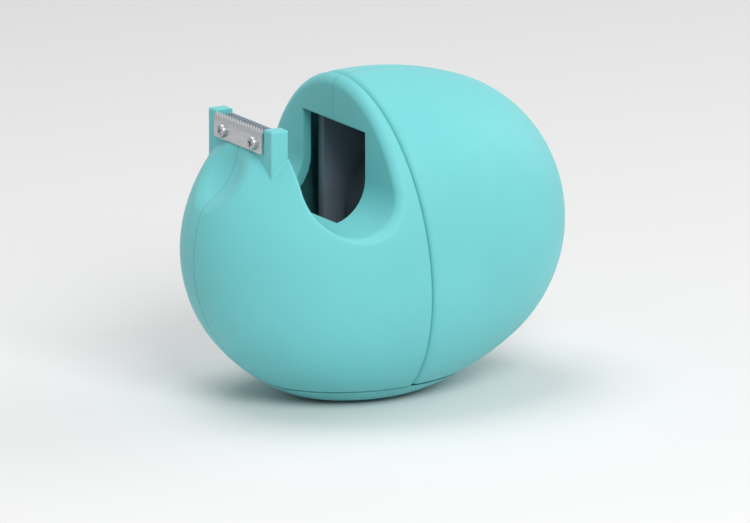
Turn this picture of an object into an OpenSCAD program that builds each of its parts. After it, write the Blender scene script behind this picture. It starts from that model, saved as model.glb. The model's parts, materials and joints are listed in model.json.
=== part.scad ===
// Egg-shaped desktop tape dispenser.
// The front body is two moulded halves with a finger notch across them. A rear
// cover, also two halves, plugs onto a spigot at the ring seam and pulls off
// backwards for a tape change. A dark chassis inside carries the tape spool.
// Millimetres, +Z up, front towards -X, origin under the middle of the object.

/* [Egg] */
// Radius of the egg at its ring seam, measured upright
egg_r = 38; // [36:0.5:42]
// Width of the egg at its ring seam
egg_w = 66; // [62:0.5:76]
// Length of the egg from the ring seam to the front end
egg_front = 42.5; // [41:0.5:46]
// Length of the egg from the ring seam to the rear end
egg_rear = 50; // [46:0.5:56]
// Radius of the front end
front_end_r = 33; // [30:0.5:34]
// Radius of the rear end
rear_end_r = 34.5; // [31:0.5:35]
// Lean of the egg, rear end up, in degrees
lean = 6; // [2:0.5:8]
// Depth of the flat cut under the egg
base_cut = 3; // [2:0.25:4]
// Wall of the moulded shells
wall = 2.4; // [1.8:0.1:2.6]

/* [Ring seam] */
// Width of the groove between the front body and the rear cover
ring_gap = 0.8; // [0.4:0.1:1.2]
// Wall of the spigot that the rear cover plugs onto
spigot_wall = 1.6; // [1.2:0.1:2]
// Reach of the spigot into the rear cover
spigot_reach = 5.5; // [4:0.5:8]
// Clearance between the spigot and the rear cover
spigot_clear = 0.15; // [0.1:0.05:0.4]
// Travel of the rear cover when it is pulled off
cover_travel = 60; // [58:1:80]

/* [Notch] */
// Radius of the bottom of the finger notch
notch_r = 9.7; // [9:0.1:10.2]
// From the middle of the ring forward to the upright rear wall of the notch
notch_back = 6.5; // [6:0.1:7]
// Height of the notch floor above the middle of the ring
notch_floor = 7.2; // [6.5:0.1:8.5]
// Width of the tape mouth
mouth_w = 28.4; // [27.6:0.1:29]
// Height of the hood's lip above the middle of the ring
mouth_top = 27.3; // [26:0.1:28]
// From the middle of the ring forward to the front edge of the tape mouth
mouth_front = 13.6; // [12.5:0.1:14.5]
// Depth of the tape mouth below the middle of the ring
mouth_bottom = 6; // [4:0.5:9]

/* [Cutter] */
// Length of the cutter bar between its outer ends
bar_w = 29.2; // [28:0.2:32]
// Thickness of the cutter bar, front to rear
bar_t = 4.4; // [4:0.1:5]
// Step from the front wall of the notch to the bar's rear face
bar_step = 0.3; // [0.2:0.05:0.6]
// Height of the bar's end posts above the axis of the egg, upright
bar_top = 30.3; // [30:0.1:31.5]
// Height of the solid part of the cutter bar
bar_h = 17; // [14:0.5:20]
// Length of the tape rest between the end posts
rest_w = 22; // [20.5:0.25:23]
// Drop of the tape rest below the end posts
rest_drop = 1.1; // [0.6:0.1:1.6]
// Thickness of the tape rest
rest_t = 1.8; // [1.4:0.1:2.2]
// Thickness of the blade
blade_t = 0.5; // [0.4:0.1:0.8]
// Height of the blade with its teeth
blade_h = 5.8; // [5.6:0.1:6.4]
// Pitch of the teeth
tooth_pitch = 1.2; // [0.8:0.1:1.6]
// Height of the teeth
tooth_h = 0.9; // [0.6:0.1:1.2]
// Distance between the two blade screws
blade_screw_gap = 14; // [10:0.5:16]
// Diameter of the blade screws
blade_screw_d = 1.6; // [1.4:0.1:2]
// Length of the blade screws under the head
blade_screw_l = 4; // [3:0.5:4]
// Radius of the finger dish below the blade
dish_r = 15.4; // [13:0.2:17]
// Gap between the finger dish and the plane of the bar's front face
dish_gap = 0.4; // [0.2:0.1:0.8]
// Height of the dish's middle above the lower edge of the blade
dish_up = 1; // [0:0.2:2]

/* [Spool] */
// From the ring seam back to the axle
axle_back = 19; // [18:0.25:20]
// Height of the axle above the axis of the egg
axle_up = 1; // [0:0.25:2]
// Diameter of the axle pin
axle_d = 4; // [3:0.1:5]
// Running clearance round the axle in its slots
axle_clear = 0.06; // [0.02:0.01:0.1]
// Reach of the axle past the cheeks at each end
axle_proud = 0.7; // [0.4:0.1:1]
// Width of the tape
tape_w = 19; // [15:0.5:20]
// Outer diameter of the tape's core
core_d = 29; // [28:0.25:30]
// Thickness of the tape that is left on the core
tape_left = 2.5; // [1.5:0.1:7]
// Wall of the tape's core
core_wall = 1.75; // [1.2:0.05:2.2]
// Clearance between the hub and the core
core_clear = 0.15; // [0.1:0.05:0.3]
// Wall of the hub's barrel
hub_wall = 1.8; // [1.4:0.1:2.4]
// Thickness of the hub's flanges
flange_t = 0.9; // [0.6:0.05:1]
// Diameter of the hub's flanges
flange_d = 31; // [30.5:0.25:33]
// Diameter of the boss round the axle
hub_boss_d = 9; // [8:0.5:12]
// Spokes in each hub half
hub_spokes = 6; // [4:1:8]
// Thickness of a spoke
spoke_t = 1.4; // [1:0.1:2]
// Gap between the two hub halves
hub_split = 0.2; // [0.1:0.05:0.4]

/* [Chassis] */
// From the middle of the ring forward to the cheeks' upright front edge
cheek_front = 2.75; // [2.4:0.05:3.2]
// Free width between the cheeks
cheek_gap = 22; // [21.5:0.25:23]
// Thickness of a cheek
cheek_t = 2.5; // [2:0.1:2.8]
// Thickness of the chassis floor
floor_t = 2; // [1.8:0.1:2.6]
// Height of the cheeks' front edge above the axis of the egg
cheek_top = 26.5; // [25:0.25:27]
// Length of the cheeks' level top edge
cheek_level = 7; // [4:0.5:9]
// Radius of the cheeks' rounded end behind the axle
cheek_end_r = 9; // [7:0.25:10]
// Clearance between the chassis and the shells
chassis_clear = 0.4; // [0.3:0.05:0.6]
// Thickness of the drag washers
washer_t = 0.3; // [0.2:0.05:0.35]
// Diameter of the drag washers
washer_d = 12; // [10:0.5:14]

/* [Base] */
// Thickness of the base plate
base_t = 3.4; // [3:0.1:4]
// Height of the pad under the base plate
pad_h = 0.8; // [0.6:0.1:1.2]
// Depth of the pad's recess in the base plate
pad_sunk = 0.4; // [0.2:0.1:0.6]
// Length of the pad
pad_l = 22; // [21:0.5:23]
// Width of the pad
pad_w = 18; // [15:0.5:18.5]
// Place of the pad's middle, along X
pad_x = -0.5; // [-0.75:0.25:0.5]
// Gap between the rear cover and the base plate
cover_lift = 0.3; // [0.2:0.05:0.6]
// Height of the ballast block
ballast_h = 7.2; // [6.6:0.2:7.6]
// Front end of the ballast block, along X
ballast_front = -11.6; // [-11.75:0.25:-10.5]
// Rear end of the ballast block, along X
ballast_back = 17; // [14:0.25:19]
// Place of the front ballast screw, along X
ballast_screw_front = -7; // [-8:0.25:-5]
// Place of the rear ballast screw, along X
ballast_screw_back = 7.5; // [5:0.25:7.75]
// Diameter of the base, ballast and chassis screws
screw_d = 2.5; // [2:0.1:3]
// Length of those screws under the head
screw_l = 7; // [6:0.5:8]
// Diameter of their heads
screw_head_d = 4.4; // [4:0.1:4.8]
// Height of their heads
screw_head_h = 1.2; // [1:0.1:1.4]
// Place of the front base screws, along X
base_screw_x = -15; // [-15.5:0.25:-14.75]
// Distance between the front base screws
base_screw_gap = 9; // [8:0.2:10]
// Diameter of the screw bosses in the front halves
boss_d = 5.6; // [5:0.1:5.8]
// Place of the chassis screws, along X
chassis_screw_x = 0; // [-2:0.25:4]
// Distance between the chassis screws
chassis_screw_gap = 16; // [15:0.25:17]

/* [Halves] */
// Diameter of the locating pegs between the halves
peg_d = 3; // [2:0.1:3.4]
// Length of the locating pegs
peg_l = 4; // [3:0.5:5]
// Clearance round the locating pegs
peg_clear = 0.05; // [0.03:0.01:0.1]
// Diameter of the posts that hold the pegs
post_d = 6; // [5.5:0.1:7]
// Length of those posts on each half
post_l = 7; // [6:0.5:8]
// Overlap of the posts with the wall they stand on
post_sunk = 1; // [0.8:0.1:1.2]
// From the ring seam back to the posts in the rear cover
rear_post_x = 23; // [20:0.5:24]
// Drop of the front post below the axis of the egg
front_post_drop = 4; // [2:0.5:6]

/* [Hidden] */
$fn = 64;
egg_fn = 240;
fit = 0.05;
over = 1;
far = 200;

// Radius of the long arc between an end of the egg and its ring
function shoulder_r(h, length, end_r) =
  (h * h + (length - end_r) ^ 2 - end_r * end_r) / (2 * (h - end_r));

// Where the egg stands
front_shoulder = shoulder_r(egg_r, egg_front, front_end_r);
rear_shoulder = shoulder_r(egg_r, egg_rear, rear_end_r);
egg_drop = egg_r + (front_shoulder - egg_r) * (1 - cos(lean));
front_reach = (egg_front - front_end_r) * cos(lean) + front_end_r;
rear_reach = (egg_rear - rear_end_r) * cos(lean) + rear_end_r;
ring_x = (front_reach - rear_reach) / 2;
ring_z = pad_h - base_cut + egg_drop;
base_top = pad_h + base_t;
floor_z = base_top + ballast_h;

// Insets of the inner layers from the egg's outer face
spigot_out = wall + spigot_clear;
spigot_in = spigot_out + spigot_wall;
inner_in = spigot_in + chassis_clear;

// Spool and cutter places that follow from the sizes above
cheek_out = cheek_gap / 2 + cheek_t;
flange_out = cheek_gap / 2 - washer_t - fit;
barrel_r = core_d / 2 - core_wall - core_clear;
tape_d = core_d + 2 * tape_left;
notch_mid = notch_back + notch_r;
bar_back = notch_mid + notch_r + bar_step;
bar_front = bar_back + bar_t;
rest_top = bar_top - rest_drop;
blade_z = bar_top - blade_h;
blade_screw_z = rest_top - rest_t - 0.6 * blade_screw_d;
mint = [0.47, 0.82, 0.81];
charcoal = [0.19, 0.22, 0.25];
steel = [0.75, 0.76, 0.78];

// Frames: the leaning egg, and the upright frame at the middle of its ring
module egg_frame() {
  translate([ring_x, 0, ring_z]) rotate([0, -lean, 0]) children();
}

module ring_frame() {
  translate([ring_x, 0, ring_z]) children();
}

// A quarter of the egg's outline: the long arc from the ring, then the end's arc.
// The two arcs meet on the line through their centres.
module egg_quarter(h, length, end_r) {
  long_r = shoulder_r(h, length, end_r);
  end_x = length - end_r;
  past_meet = [end_x, 0] + [end_x, long_r - h] / (long_r - end_r) * 2 * length;
  intersection() {
    translate([0, h - long_r]) circle(long_r, $fn = egg_fn);
    polygon([[0, 0], [end_x, 0], past_meet, [0, 2 * length]]);
  }
  intersection() {
    translate([end_x, 0]) circle(end_r, $fn = egg_fn);
    polygon([[end_x, 0], [end_x + 2 * length, 0], past_meet]);
  }
}

// The egg in its own frame, drawn in from its outer face by an inset.
// Its outline starts and ends at one place: -1 right, 1 left, 2 above.
module egg(inset = 0, start = 1) {
  h = egg_r - inset;
  scale([1, egg_w / (2 * egg_r), 1])
    rotate([90, 0, 90]) rotate(start * 90 - 90)
      rotate_extrude($fn = egg_fn) {
        rotate(90) mirror([0, 1]) egg_quarter(h, egg_rear - inset, rear_end_r - inset);
        mirror([0, 1]) rotate(90) mirror([0, 1])
          egg_quarter(h, egg_front - inset, front_end_r - inset);
      }
}

// A slice of space across the egg's axis
module axial_slab(from, to) {
  translate([from, -far / 2, -far / 2]) cube([to - from, far, far]);
}

// Everything on one side of the middle plane: -1 right, 1 left
module side_space(side) {
  translate([-far / 2, side > 0 ? 0 : -far, -far / 2]) cube([far, far, far]);
}

// Everything above a height over the table
module above(z) {
  translate([-far / 2, -far / 2, z]) cube([far, far, far]);
}

// The upright finger notch, across the egg, grown by a margin
module notch(margin = 0) {
  r = notch_r + margin;
  translate([-notch_mid, 0, notch_floor + notch_r])
    rotate([90, 0, 0])
      linear_extrude(far, center = true) {
        circle(r);
        translate([-r, 0]) square([2 * r, egg_r]);
      }
}

// The tape mouth through the notch's floor and rear wall
module mouth() {
  translate([-mouth_front, -mouth_w / 2, -mouth_bottom])
    cube([mouth_front + over, mouth_w, mouth_top + mouth_bottom]);
}

// A pin along Y through the middle plane
module cross_pin(d, from, to) {
  translate([0, from, 0]) rotate([-90, 0, 0]) cylinder(h = to - from, d = d);
}

// Post, peg and socket that line up two halves: pegs on the right half.
// A post reaches from its peg's place into the wall, forwards, up or down.
module post(side, reach) {
  translate([min(reach[0], 0) - post_d / 2, side > 0 ? 0 : -post_l, min(reach[1], 0) - post_d / 2])
    cube([post_d + abs(reach[0]), post_l, post_d + abs(reach[1])]);
}

module peg() {
  cross_pin(peg_d, -over, peg_l);
}

module socket() {
  cross_pin(peg_d + 2 * peg_clear, -over, peg_l + fit);
}

// Places of the pegs on the mid plane, along X and up
post_in = wall + post_d / 2;
front_post = [-(egg_front - post_in), -front_post_drop];
bar_post = [-(bar_back + bar_t / 2), rest_top - rest_t - 2 * peg_d];
rear_post_up = sqrt((rear_shoulder - post_in) ^ 2 - rear_post_x ^ 2) - rear_shoulder + egg_r;

// Bar across the front of the notch that carries the blade
module cutter_bar() {
  translate([-bar_front, -bar_w / 2, bar_top - bar_h]) cube([bar_t, bar_w, bar_h]);
}

// Room for the tape rest on the bar and for the blade on its front face
module cutter_seat() {
  translate([-bar_front - over, -rest_w / 2, rest_top - rest_t])
    cube([bar_t + 2 * over, rest_w, egg_r]);
  translate([-bar_front - egg_r, -rest_w / 2, blade_z - fit])
    cube([egg_r, rest_w, egg_r]);
  blade_screw_places() cylinder(h = blade_screw_l + fit, d = blade_screw_d + 2 * fit);
}

module blade_screw_places() {
  for (side = [-1, 1])
    translate([-bar_front - blade_t, side * blade_screw_gap / 2, blade_screw_z])
      rotate([0, 90, 0]) children();
}

// Dish for a fingertip in front of the blade, grown by a margin
module finger_dish(margin = 0) {
  translate([-(bar_front + dish_gap + dish_r), 0, blade_z + dish_up])
    rotate(180) sphere(dish_r + margin, $fn = 128);
}

// Screw boss in the bottom of a front half, with the web that ties it to the wall
module base_boss(side) {
  web_t = boss_d / 2;
  translate([base_screw_x, side * base_screw_gap / 2, base_top]) {
    cylinder(h = ballast_h, d = boss_d);
    translate([-web_t / 2, side > 0 ? 0 : -egg_w / 2, 0])
      cube([web_t, egg_w / 2, ballast_h]);
  }
}

// One half of the front body
module front_half(side) {
  difference() {
    union() {
      intersection() {
        egg_frame() front_skin();
        side_space(side);
        above(base_top);
      }
      intersection() {
        ring_frame() cutter_bar();
        side_space(side);
      }
      intersection() {
        base_boss(side);
        egg_frame() egg(wall / 2, 2);
      }
      egg_frame() translate([front_post[0], 0, front_post[1]]) post(side, [-post_sunk, 0]);
      if (side < 0) front_pegs() peg();
    }
    if (side > 0) front_pegs() socket();
    ring_frame() cutter_seat();
    ring_frame() finger_dish();
    base_screw_places() screw_hole(screw_l + fit);
  }
}

module front_pegs() {
  egg_frame() translate([front_post[0], 0, front_post[1]]) children();
  ring_frame() translate([bar_post[0], 0, bar_post[1]]) children();
}

// The front body's skin in the egg's frame, both halves in one
module front_skin() {
  start = 2;
  difference() {
    union() {
      intersection() {
        difference() {
          egg(0, start);
          difference() {
            egg(wall, start);
            rotate([0, lean, 0]) notch(wall);
            rotate([0, lean, 0]) finger_dish(wall);
          }
        }
        axial_slab(-far / 2, -ring_gap / 2);
      }
      difference() {
        union() {
          intersection() {
            egg(wall / 2, start);
            axial_slab(-spigot_reach, -ring_gap / 2);
          }
          intersection() {
            egg(spigot_out, start);
            axial_slab(-ring_gap / 2 - over, spigot_reach);
          }
        }
        egg(spigot_in, start);
      }
    }
    rotate([0, lean, 0]) {
      notch();
      mouth();
    }
  }
}

module front_shell_left() {
  color(mint) front_half(1);
}

module front_shell_right() {
  color(mint) front_half(-1);
}

// One half of the rear cover
module rear_half(side) {
  difference() {
    union() {
      intersection() {
        egg_frame() difference() {
          egg(0, -side);
          egg(wall, -side);
        }
        egg_frame() axial_slab(ring_gap / 2, far / 2);
        side_space(side);
        above(base_top + cover_lift);
      }
      rear_post_place(1) post(side, [0, post_sunk]);
      rear_post_place(-1) post(side, [0, -post_sunk]);
      if (side < 0) rear_pegs() peg();
    }
    if (side > 0) rear_pegs() socket();
  }
}

module rear_post_place(up) {
  egg_frame() translate([rear_post_x, 0, up * rear_post_up]) children();
}

module rear_pegs() {
  for (up = [-1, 1])
    rear_post_place(up) children();
}

module rear_shell_left() {
  color(mint) rear_half(1);
}

module rear_shell_right() {
  color(mint) rear_half(-1);
}

// Upright screw with its head down: z = 0 under the head
module screw(length) {
  cylinder(h = length, d = screw_d);
  translate([0, 0, -screw_head_h]) cylinder(h = screw_head_h, d = screw_head_d);
}

module screw_hole(length) {
  translate([0, 0, -over]) cylinder(h = length + over, d = screw_d + 2 * fit);
  translate([0, 0, -far / 2]) cylinder(h = far / 2, d = screw_head_d + 2 * fit);
}

// Height under the heads of the screws that come up through the base plate
base_screw_z = pad_h + pad_sunk + screw_head_h;

module base_screw_places() {
  for (side = [-1, 1])
    translate([base_screw_x, side * base_screw_gap / 2, base_screw_z]) children();
}

module ballast_screw_places() {
  for (x = [ballast_screw_front, ballast_screw_back])
    translate([x, 0, base_screw_z]) children();
}

module chassis_screw_places() {
  for (side = [-1, 1])
    translate([chassis_screw_x, side * chassis_screw_gap / 2, floor_z + floor_t - screw_head_h])
      rotate([180, 0, 0]) children();
}

module pad_outline() {
  for (side = [-1, 1])
    translate([pad_x + side * (pad_l - pad_w) / 2, 0]) circle(d = pad_w);
  translate([pad_x - (pad_l - pad_w) / 2, -pad_w / 2]) square([pad_l - pad_w, pad_w]);
}

// The flat slice at the bottom of the egg
module base_plate() {
  color(mint) difference() {
    intersection() {
      egg_frame() egg();
      translate([-far / 2, -far / 2, pad_h]) cube([far, far, base_t]);
    }
    linear_extrude(pad_h + pad_sunk) pad_outline();
    base_screw_places() screw_hole(screw_l);
    ballast_screw_places() screw_hole(screw_l);
  }
}

module base_pad() {
  color([0.1, 0.1, 0.11]) linear_extrude(pad_h + pad_sunk) pad_outline();
}

// Cast weight on the base plate, shaped to the inside of the egg
module ballast_block() {
  color([0.33, 0.34, 0.35]) difference() {
    intersection() {
      egg_frame() egg(inner_in);
      translate([ballast_front, -far / 2, base_top])
        cube([ballast_back - ballast_front, far, ballast_h]);
    }
    ballast_screw_places() cylinder(h = screw_l + fit, d = screw_d + 2 * fit);
    chassis_screw_places() cylinder(h = screw_l + fit, d = screw_d + 2 * fit);
  }
}

// Side outline of a cheek in the egg's frame
module cheek_outline() {
  front = [for (z = [-egg_r, cheek_top]) [(z * sin(lean) - cheek_front) / cos(lean), z]];
  polygon([front[0], front[1], [cheek_level, cheek_top],
           [axle_back + cheek_end_r, axle_up + cheek_end_r / 2],
           [axle_back + cheek_end_r, -egg_r]]);
  translate([axle_back, axle_up]) circle(cheek_end_r);
}

// Slot in a cheek that the axle drops into from behind
module axle_slot() {
  slot_d = axle_d + 2 * axle_clear;
  translate([axle_back, axle_up]) {
    circle(d = slot_d);
    translate([0, -slot_d / 2]) square([egg_rear, slot_d]);
  }
}

module chassis() {
  color(charcoal) difference() {
    intersection() {
      egg_frame() egg(inner_in);
      above(floor_z);
      union() {
        for (side = [-1, 1])
          egg_frame() translate([0, side * (cheek_gap + cheek_t) / 2, 0])
            rotate([90, 0, 0]) linear_extrude(cheek_t, center = true) difference() {
              cheek_outline();
              axle_slot();
            }
        translate([ballast_front, -cheek_out, floor_z])
          cube([ballast_back - ballast_front, 2 * cheek_out, floor_t]);
      }
    }
    chassis_screw_places() screw_hole(screw_l);
  }
}

// Ribbed rest that the cut end of the tape sticks to
module tape_rest() {
  rib_w = 0.8;
  ribs = floor((rest_w - 2 * rib_w) / (2 * rib_w));
  color(charcoal) ring_frame() difference() {
    translate([-bar_front, -rest_w / 2 + fit, rest_top - rest_t])
      cube([bar_t, rest_w - 2 * fit, rest_t]);
    for (i = [0:ribs - 1])
      translate([-bar_front + over, (2 * i + 1 - ribs) * rib_w - rib_w / 2, rest_top - rib_w / 2])
        cube([bar_t - 2 * over, rib_w, rib_w]);
  }
}

// Steel strip with a saw edge on top, on the front face of the bar
module cutter_blade() {
  half = rest_w / 2 - fit;
  teeth = floor(2 * half / tooth_pitch);
  edge = [for (i = [0:teeth - 1], top = [0, 1])
    [(i - teeth / 2 + top / 2) * tooth_pitch, blade_h - tooth_h * (1 - top)]];
  color(steel) ring_frame() difference() {
    translate([-bar_front, 0, blade_z])
      rotate([90, 0, -90]) linear_extrude(blade_t)
        polygon(concat([[half, 0], [-half, 0], [-half, blade_h - tooth_h]], edge,
                       [[teeth / 2 * tooth_pitch, blade_h - tooth_h], [half, blade_h - tooth_h]]));
    blade_screw_places() translate([0, 0, -over])
      cylinder(h = blade_t + 2 * over, d = blade_screw_d + 2 * fit);
  }
}

module blade_screws() {
  head_h = blade_screw_d / 2;
  color(steel) ring_frame() blade_screw_places() {
    cylinder(h = blade_screw_l, d = blade_screw_d);
    translate([0, 0, -head_h]) cylinder(h = head_h, d = 2 * blade_screw_d);
  }
}

module base_screws() {
  color(steel) base_screw_places() screw(screw_l);
}

module ballast_screws() {
  color(steel) ballast_screw_places() screw(screw_l);
}

module chassis_screws() {
  color(steel) chassis_screw_places() screw(screw_l);
}

// Frame of the spool: on the axle, with Z along the axle
module spool_frame() {
  egg_frame() translate([axle_back, 0, axle_up]) rotate([90, 0, 0]) children();
}

// One half of the hub: barrel, spokes, boss and flange, from the middle outwards
module hub_half() {
  barrel_l = tape_w / 2 + fit;
  difference() {
    union() {
      translate([0, 0, hub_split / 2]) difference() {
        cylinder(h = barrel_l - hub_split / 2, r = barrel_r);
        translate([0, 0, -over]) cylinder(h = barrel_l + over, r = barrel_r - hub_wall);
      }
      translate([0, 0, barrel_l]) cylinder(h = flange_t, d = flange_d);
      translate([0, 0, barrel_l]) cylinder(h = flange_out - barrel_l, d = washer_d);
      translate([0, 0, hub_split / 2]) cylinder(h = barrel_l, d = hub_boss_d);
      for (i = [0:hub_spokes - 1])
        rotate(i * 360 / hub_spokes) translate([0, -spoke_t / 2, hub_split / 2])
          cube([barrel_r - hub_wall / 2, spoke_t, barrel_l]);
    }
    translate([0, 0, -over]) cylinder(h = cheek_gap, d = axle_d + 2 * fit);
  }
}

module hub_left() {
  color([0.86, 0.87, 0.87]) spool_frame() mirror([0, 0, 1]) hub_half();
}

module hub_right() {
  color([0.86, 0.87, 0.87]) spool_frame() hub_half();
}

module axle_pin() {
  color(steel) spool_frame() cylinder(h = 2 * (cheek_out + axle_proud), d = axle_d, center = true);
}

// Thin washers between the hub and the cheeks
module drag_washers() {
  color([0.93, 0.92, 0.88]) spool_frame() for (side = [0, 1])
    mirror([0, 0, side]) translate([0, 0, flange_out]) difference() {
      cylinder(h = washer_t, d = washer_d);
      translate([0, 0, -over]) cylinder(h = 3 * over, d = axle_d + 2 * fit);
    }
}

module tape_core() {
  color([0.9, 0.9, 0.88]) spool_frame() difference() {
    cylinder(h = tape_w, d = core_d, center = true);
    cylinder(h = tape_w + over, d = core_d - 2 * core_wall, center = true);
  }
}

module tape_roll() {
  color([0.8, 0.84, 0.86]) spool_frame() difference() {
    cylinder(h = tape_w, d = tape_d, center = true);
    cylinder(h = tape_w + over, d = core_d, center = true);
  }
}

front_shell_left();
front_shell_right();
rear_shell_left();
rear_shell_right();
base_plate();
base_pad();
ballast_block();
chassis();
tape_rest();
cutter_blade();
blade_screws();
base_screws();
ballast_screws();
chassis_screws();
hub_left();
hub_right();
axle_pin();
drag_washers();
tape_core();
tape_roll();
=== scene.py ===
"""Dresses the solids of an egg-shaped desktop tape dispenser.

The moulded shells get their rounded edges and soft-touch finish here, and the
cutter, the spool and the base get the detail that their solids leave out.
"""
import json
import math

import bpy
import numpy as np
from bpy.props import FloatProperty, FloatVectorProperty, PointerProperty
from bpy.types import Operator, Panel, PropertyGroup
from mathutils import Matrix, Vector

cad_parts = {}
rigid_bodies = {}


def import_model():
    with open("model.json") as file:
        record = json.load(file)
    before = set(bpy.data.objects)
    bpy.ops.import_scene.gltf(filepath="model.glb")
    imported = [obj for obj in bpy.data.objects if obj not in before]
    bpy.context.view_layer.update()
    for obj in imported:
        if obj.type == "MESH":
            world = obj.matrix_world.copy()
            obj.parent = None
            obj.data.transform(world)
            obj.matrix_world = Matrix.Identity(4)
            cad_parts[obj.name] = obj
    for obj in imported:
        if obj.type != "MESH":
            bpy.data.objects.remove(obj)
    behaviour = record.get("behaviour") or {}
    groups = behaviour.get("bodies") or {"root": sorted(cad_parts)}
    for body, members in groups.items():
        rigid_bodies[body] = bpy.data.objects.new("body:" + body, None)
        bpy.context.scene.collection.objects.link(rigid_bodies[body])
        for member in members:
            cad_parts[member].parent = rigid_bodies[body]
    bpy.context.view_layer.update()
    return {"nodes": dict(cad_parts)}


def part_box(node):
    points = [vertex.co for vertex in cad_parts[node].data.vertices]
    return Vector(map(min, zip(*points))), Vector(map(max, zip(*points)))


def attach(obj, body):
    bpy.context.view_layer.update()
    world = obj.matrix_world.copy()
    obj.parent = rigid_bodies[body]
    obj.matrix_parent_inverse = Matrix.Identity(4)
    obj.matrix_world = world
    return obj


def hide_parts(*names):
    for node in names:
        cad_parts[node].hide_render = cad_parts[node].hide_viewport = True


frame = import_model()

bl_info = {
    "name": "Egg Tape Dispenser",
    "version": (1, 0, 0),
    "blender": (4, 5, 0),
    "location": "View3D > Sidebar > Dispenser",
    "description": "Dresses the solids of an egg-shaped desktop tape dispenser",
    "category": "Object",
}

MM = 0.001
MERGE = 1e-6  # points closer than this are one
FLAT_TURN = math.radians(0.6)  # faces that turn less than this are one flat face


def length(text, mm):
    """A size in the sidebar, given in millimetres."""
    return FloatProperty(description=text, default=mm * MM, min=0.0, unit="LENGTH")


def degrees(text, value):
    """An angle in the sidebar, given in degrees."""
    return FloatProperty(description=text, default=math.radians(value), subtype="ANGLE")


def colour(text, value):
    """A colour in the sidebar, as linear red, green and blue."""
    return FloatVectorProperty(description=text, default=value, size=3,
                               min=0.0, max=1.0, subtype="COLOR")


class EggSizes(PropertyGroup):
    """Sizes of the egg, its notch and its mouth."""
    ring_radius: length("Upright radius of the egg at its ring seam", 38)
    ring_width: length("Width of the egg at its ring seam", 66)
    front: length("From the ring seam to the front end", 42.5)
    rear: length("From the ring seam to the rear end", 50)
    front_end: length("Radius of the front end", 33)
    rear_end: length("Radius of the rear end", 34.5)
    lean: degrees("Lean of the egg, rear end up", 6)
    base_cut: length("Depth of the flat cut under the egg", 3)
    pad_height: length("Height of the pad under the base plate", 0.8)
    base_top: length("Height of the base plate's upper face", 4.2)
    cover_lift: length("Gap between the rear cover and the base plate", 0.3)
    ring_gap: length("Gap between the front body and the rear cover", 0.3)
    notch_radius: length("Radius of the bottom of the finger notch", 9.7)
    notch_back: length("From the ring's middle to the notch's rear wall", 6.5)
    notch_floor: length("Height of the notch floor over the ring's middle", 7.2)
    mouth_width: length("Width of the tape mouth", 28.4)
    mouth_top: length("Height of the hood's lip over the ring's middle", 27.3)
    mouth_front: length("From the ring's middle to the mouth's front edge", 13.6)
    mouth_bottom: length("Depth of the tape mouth below the ring's middle", 6)


class CutterSizes(PropertyGroup):
    """Sizes of the cutter bar, its seats and the finger dish, from the ring's middle."""
    bar_front: length("From the ring to the front face of the bar", 30.6)
    bar_depth: length("Thickness of the bar, front to rear", 4.4)
    bar_width: length("Length of the bar between its outer ends", 29.2)
    bar_top: length("Height of the bar's end posts", 30.3)
    bar_height: length("Height of the solid part of the bar", 17)
    rest_width: length("Length of the tape rest between the posts", 22)
    rest_floor: length("Height of the floor under the tape rest", 27.4)
    blade_floor: length("Height of the ledge under the blade", 24.45)
    blade_thickness: length("Thickness of the blade's strip", 0.5)
    rib: length("Width of the tape rest's ribs and of the slots between them", 0.8)
    rib_land: length("Width of the tape rest beside its slots", 1)
    tooth_pitch: length("Distance from tooth to tooth", 1.2)
    tooth_height: length("Height of a tooth", 0.9)
    tooth_tip: length("Thickness of the blade at the tips of its teeth", 0.1)
    grind: length("How far the teeth's ground slope reaches below them", 0.54)
    hole_play: length("Play of the blade's screws in their holes", 0.05)
    dish_radius: length("Radius of the finger dish", 15.4)
    dish_front: length("From the ring to the middle of the dish", 46.4)
    dish_up: length("Height of the dish's middle", 25.5)


class EdgeSizes(PropertyGroup):
    """Sizes of the rounded edges, and of the cells of the moulded skins."""
    cell: length("Size of the cells that the moulded skins are built from", 0.43)
    hood: length("Radius of the hood's edge over the notch", 2.2)
    notch: length("Radius of the notch's front and lower edge", 0.8)
    dish: length("Radius of the finger dish's edge", 1.4)
    ring_lip: length("Radius of the front body's edge at the ring seam", 0.45)
    ring_roll: length("Depth of the rear cover's rolled edge at the ring seam", 1.7)
    ring_reach: length("Length of the rear cover's rolled edge at the ring seam", 1.9)
    mouth: length("Radius of the edges of the tape mouth", 0.35)
    bar: length("Radius of the cutter bar's edges", 0.5)
    bar_root: length("Radius of the hollow where the bar meets the egg", 0.18)
    seat: length("Radius of the edges of the cutter's seats", 0.25)
    parting: length("Half the gap at the parting line", 0.08)
    base: length("Radius of the edges round the base plate", 0.45)
    rest: length("Width of the bevels on the tape rest", 0.12)
    chassis: length("Width of the bevels on the chassis", 0.35)
    hub: length("Width of the bevels on the spool hub", 0.18)
    pin: length("Width of the bevels on the axle pin", 0.35)
    roll: length("Width of the bevels on the tape roll", 0.22)
    pad: length("Width of the bevels on the grip pad", 0.3)


class FinishColours(PropertyGroup):
    """Colours of the finishes."""
    mint: colour("Soft-touch skin", (0.155, 0.568, 0.585))
    charcoal: colour("Chassis and tape rest", (0.150, 0.184, 0.224))
    hub: colour("Spool hub", (0.060, 0.072, 0.086))
    steel: colour("Blade", (0.56, 0.57, 0.59))
    zinc: colour("Screws and axle", (0.48, 0.49, 0.51))
    rubber: colour("Grip pad", (0.012, 0.012, 0.013))
    iron: colour("Ballast casting", (0.075, 0.078, 0.082))
    nylon: colour("Drag washers", (0.74, 0.72, 0.66))
    film: colour("Tape wound on its core", (0.085, 0.100, 0.120))
    floor: colour("Studio floor", (0.80, 0.80, 0.80))


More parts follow.
